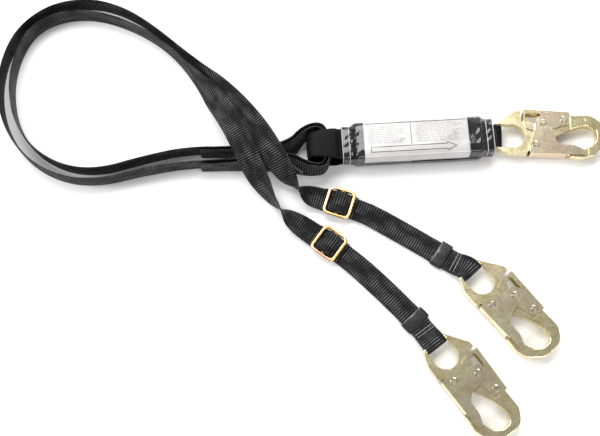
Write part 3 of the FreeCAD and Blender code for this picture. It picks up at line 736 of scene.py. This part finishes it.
tearPack = {"layers": 6, "half": 0.056, "low": 0.0045, "pitch": 0.0042, "width": 0.035, "thick": 0.0022}


def makeTearPack():
    line = serpentineLine(tearPack["layers"], tearPack["half"], tearPack["low"], tearPack["pitch"])
    aim = np.tile((0.0, 1.0, 0.0), (len(line), 1))
    weave = dict(fineWeave, pitch=0.0024, ribHeight=0.0002, edgeHeight=0.0004)
    strap, centre = carryStrap("tear_strap", line, aim, tearPack["width"], tearPack["thick"], "absorber",
                               looks["tear"], weave)
    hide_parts("tear_webbing")
    low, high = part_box("backup_strap")
    line = np.stack([np.linspace(low[0], high[0], 60), np.zeros(60), np.full(60, (low[2] + high[2]) / 2)], 1)
    aim = np.tile((0.0, 1.0, 0.0), (60, 1))
    strap, centre = carryStrap("backup_band", line, aim, high[1] - low[1], 0.0012,
                               "absorber", looks["smooth"], fineWeave)
    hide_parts("backup_strap")


def makeTearThread():
    # Pale stitches run along the bundle's edge as one long closed loop, on the front and on the back.
    lines = []
    turn = np.linspace(-math.pi / 2, math.pi / 2, 24)
    half, low, high = 0.056, 0.0075, 0.0225
    middle, radius = (low + high) / 2, (high - low) / 2
    count = 420
    for y in (-0.0182, 0.0182):
        flat = np.vstack([
            np.stack([np.linspace(-half, half, count), np.full(count, low)], 1),
            np.stack([half + np.cos(turn) * radius * 0.8, middle + np.sin(turn) * radius], 1)[1:-1],
            np.stack([np.linspace(half, -half, count), np.full(count, high)], 1),
            np.stack([-half - np.cos(turn) * radius * 0.8, middle - np.sin(turn) * radius], 1)[1:],
        ])
        reach = np.concatenate([[0.0], np.cumsum(np.linalg.norm(np.diff(flat, axis=0), axis=1))])
        at = np.arange(0, reach[-1], 0.0009)
        flat = np.stack([np.interp(at, reach, flat[:, 0]), np.interp(at, reach, flat[:, 1])], 1)
        tangent = unit(np.gradient(flat, axis=0))
        saw = np.where(np.arange(len(at)) % 2 == 0, 0.00045, -0.00045)[:, None]
        flat = flat + np.stack([-tangent[:, 1], tangent[:, 0]], 1) * saw
        lines.append(np.stack([flat[:, 0], np.full(len(flat), y), flat[:, 1]], 1))
    piece = threadTubes("tear_stitching", lines, 0.00042, "absorber", looks["paleThread"], 6)


endLoops = {
    "legSide": [(-0.060, 0.0082, 0.034), (-0.0846, 0.0074, 0.034), (-0.0905, 0.0018, 0.034),
                (-0.1195, 0.0018, 0.026), (-0.1195, 0.0314, 0.026), (-0.0905, 0.0314, 0.034),
                (-0.0846, 0.0236, 0.034), (-0.060, 0.0232, 0.034)],
    "hookSideTop": [(0.060, 0.0225, 0.034), (0.070, 0.0215, 0.031), (0.077, 0.0205, 0.028)],
    "hookSideFoot": [(0.077, 0.0076, 0.028), (0.070, 0.0078, 0.031), (0.060, 0.0080, 0.034)],
    "narrow": 0.0244,
    "thick": 0.0022,
}


def makeEndLoops():
    rows = np.array(endLoops["legSide"])
    points = np.stack([rows[:, 0], np.full(len(rows), -0.001), rows[:, 1]], 1)
    line = readLine(points)
    width = readLine(np.c_[rows[:, 2], points[:, 1:]])[:, 0]
    strap, legEnd = carryStrap("leg_side_loop", line, np.tile((0.0, 1.0, 0.0), (len(line), 1)), width,
                               endLoops["thick"], "absorber", looks["smooth"], fineWeave)
    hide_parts("leg_end_loop")
    bar, ahead, left = hookPlace("harness_hook")
    ring = hookShape["barRadius"] + hookShape["barGap"] + endLoops["thick"] / 2
    narrow = endLoops["narrow"]
    lines, widths = [], []
    for key, side in (("hookSideTop", 1), ("hookSideFoot", -1)):
        rows = np.array(endLoops[key])
        flat = np.stack([rows[:, 0], np.zeros(len(rows)), rows[:, 1]], 1)
        ends = np.vstack([bar - ahead * 0.0035 + up * ring * side, bar + up * ring * side])
        points = np.vstack([flat, ends]) if side == 1 else np.vstack([ends[::-1], flat])
        wide = np.r_[rows[:, 2], narrow, narrow] if side == 1 else np.r_[narrow, narrow, rows[:, 2]]
        lines.append(readLine(points))
        widths.append(readLine(np.c_[wide, points[:, 1:]])[:, 0])
    turn = roundBar(bar, ahead, ring)[1:-1]
    line = np.vstack([lines[0], turn, lines[1]])
    width = np.r_[widths[0], np.full(len(turn), narrow), widths[1]]
    first = np.array([0.0, 1.0, 0.0])
    aim = np.vstack([blendAims(first, left, len(lines[0])), np.tile(left, (len(turn), 1)),
                     blendAims(left, first, len(lines[1]))])
    strap, centre = carryStrap("hook_side_loop", line, aim, width, endLoops["thick"], "absorber",
                               looks["smooth"], fineWeave)
    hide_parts("hook_end_loop")
    return lines[0], legEnd


def zigzag(start, along, across, length, width, teeth):
    # A straight row of stitches that swings from side to side.
    share = np.linspace(0, 1, teeth * 2 + 1)[:, None]
    swing = np.where(np.arange(teeth * 2 + 1) % 2 == 0, 0.5, -0.5)[:, None] * width
    return start + along * share * length + across * swing


def makeStitches(topLine):
    lengthways, sideways = np.array([1.0, 0.0, 0.0]), np.array([0.0, 1.0, 0.0])
    rows = []
    for x in (0.0832, 0.0850, 0.0868):
        z = np.interp(x, topLine[:, 0], topLine[:, 2]) + endLoops["thick"] / 2 + 0.00015
        rows.append(zigzag(np.array([x, -0.0095, z]), sideways, lengthways, 0.019, 0.0011, 12))
    piece = threadTubes("hook_loop_stitches", rows, 0.00022, "absorber", looks["thread"], 6)
    low, high = (np.array(corner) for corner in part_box("pack_bar_tacks"))
    rows = []
    inset = np.array([0.0004, 0.002, 0.0036])
    for x in (*(low[0] + inset), *(high[0] - inset[::-1])):
        start = np.array([x, low[1], (low[2] + high[2]) / 2])
        rows.append(zigzag(start, sideways, lengthways, high[1] - low[1], 0.0011, 18))
    piece = threadTubes("pack_stitches", rows, 0.00026, "absorber", looks["thread"], 6)
    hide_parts("pack_bar_tacks")
    low, high = (np.array(corner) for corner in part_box("leg_bar_tacks"))
    rows = []
    along = unit(np.array([high[0] - low[0], low[1] - high[1], 0.0]))
    for share in np.linspace(0.08, 0.92, 5):
        x, y = low[0] + (high[0] - low[0]) * share, high[1] + (low[1] - high[1]) * share
        rows.append(zigzag(np.array([x, y, low[2]]), up, along, high[2] - low[2], 0.0012, 11))
    piece = threadTubes("leg_stitches", rows, 0.0003, "legs", looks["lightThread"], 6)
    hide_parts("leg_bar_tacks")


hookStitch = {"distances": (0.017, 0.021), "half": 0.0105, "swing": 0.0006, "teeth": 14, "radius": 0.00025}
threadLift = 0.00015


def makeHookStitches():
    # Two pale rows across each leg's hook loop, just before the eye.
    for leg, line in hookLoopTops.items():
        toEnd = np.linalg.norm(line - line[-1], axis=1)
        rows = []
        for distance in hookStitch["distances"]:
            at = int(np.argmin(np.abs(toEnd - distance)))
            along = unit(line[at + 1] - line[at - 1])
            across = unit(np.cross(along, up))
            normal = np.cross(across, along)
            start = line[at] - across * hookStitch["half"] + normal * (legStrap["thick"] / 2 + threadLift)
            rows.append(zigzag(start, across, along, 2 * hookStitch["half"],
                               hookStitch["swing"], hookStitch["teeth"]))
        piece = threadTubes(leg + "_loop_stitches", rows, hookStitch["radius"], "legs",
                            looks["paleThread"], 6)


makeCover()
makeLabel()
makePrint()
makeTearPack()
makeTearThread()
makeHookStitches()
topLine, legEnd = makeEndLoops()
makeStitches(topLine)
print("shock pack dressed")


# Keepers: a rubbery sleeve whose wall is an oval ring carried round a rounded rectangle

keeperShape = {"wall": 0.0009, "halfLength": 0.0065, "halfWidth": 0.0145, "squareness": 14.0, "bulge": 0.0002}


def makeKeepers():
    for name in ("keeper_1", "keeper_2"):
        along = np.array(joints[name + "_slide"]["axis"], dtype=float)
        across = np.cross(along, up)
        middle = middleOf(name)
        low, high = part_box(name)
        tall = (high[2] - low[2]) / 2 - keeperShape["wall"] / 2
        wide = keeperShape["halfWidth"] - keeperShape["wall"] / 2
        turn = (np.arange(120) / 120 * 2 * math.pi)[None, :]
        wall = (np.arange(20) / 20 * 2 * math.pi)[:, None]
        power = keeperShape["squareness"]
        reach = (np.abs(np.cos(turn) / wide) ** power + np.abs(np.sin(turn) / tall) ** power) ** (-1 / power)
        side = np.sign(np.cos(wall)) * np.abs(np.cos(wall)) ** 0.5 * keeperShape["halfLength"]
        out = np.sign(np.sin(wall)) * np.abs(np.sin(wall)) ** 0.7 * keeperShape["wall"] / 2
        out = out - keeperShape["bulge"] * (side / keeperShape["halfLength"]) ** 2
        x, z = (reach + out) * np.cos(turn), (reach + out) * np.sin(turn)
        points = middle + across * x[..., None] + up * z[..., None] + along * (side + 0 * turn)[..., None]
        faces = gridFaces(21, 120) % (20 * 120)
        piece = toObject(name + "_sleeve", points.reshape(-1, 3), faces, name, looks["keeper"])
        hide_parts(name)


# Springs: wire coils in each hook

springShape = {
    "leverWire": 0.00028,
    "leverRadius": 0.0014,
    "leverTurns": 6,
    "gateWire": 0.0006,
    "gateRadius": 0.0065,
}


def makeSprings():
    for hook in hookNames:
        bar, ahead, left = hookPlace(hook)
        eye = bar + ahead * hookShape["barToEye"]
        turn = np.linspace(0, 2 * math.pi * springShape["leverTurns"], 16 * springShape["leverTurns"])
        far = np.interp(turn, (0, turn[-1]), (0.0211, 0.0275))
        ring = ahead * (np.cos(turn) * springShape["leverRadius"])[:, None]
        ring = ring + up * (np.sin(turn) * springShape["leverRadius"])[:, None]
        line = eye + ahead * 0.044 + left * far[:, None] + ring
        coil = threadTubes(hook + "_lever_coil", [line], springShape["leverWire"], hook + "_lock_set",
                           looks["spring"], 8)
        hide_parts(hook + "_lever_spring")
        turn = np.linspace(math.radians(-90), math.radians(270), 60)
        low = -0.0056
        ring = ahead * (0.0247 + np.cos(turn) * springShape["gateRadius"])[:, None]
        ring = ring + left * (-0.0101 + np.sin(turn) * springShape["gateRadius"])[:, None]
        arm = ahead * np.linspace(0.0265, 0.044, 12)[:, None]
        arm = arm + left * np.linspace(-0.0169, -0.0183, 12)[:, None]
        line = eye + up * low + np.vstack([ring, arm])
        coil = threadTubes(hook + "_gate_coil", [line], springShape["gateWire"], hook + "_gate_set",
                           looks["spring"], 8)
        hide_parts(hook + "_gate_spring")


def finishMetal():
    kinds = {"_hook_body": "forged", "_gate": "sheet", "_lock_lever": "sheet", "_rivet": "rivet",
             "_locking_pin": "rivet", "_frame": "adjuster", "_slide_bar": "adjuster"}
    for name, piece in nodes.items():
        for ending, look in kinds.items():
            if name.endswith(ending):
                for slot in piece.material_slots:
                    slot.material = looks[look]


makeKeepers()
makeSprings()
finishMetal()
print("keepers, springs and metal done")

import json
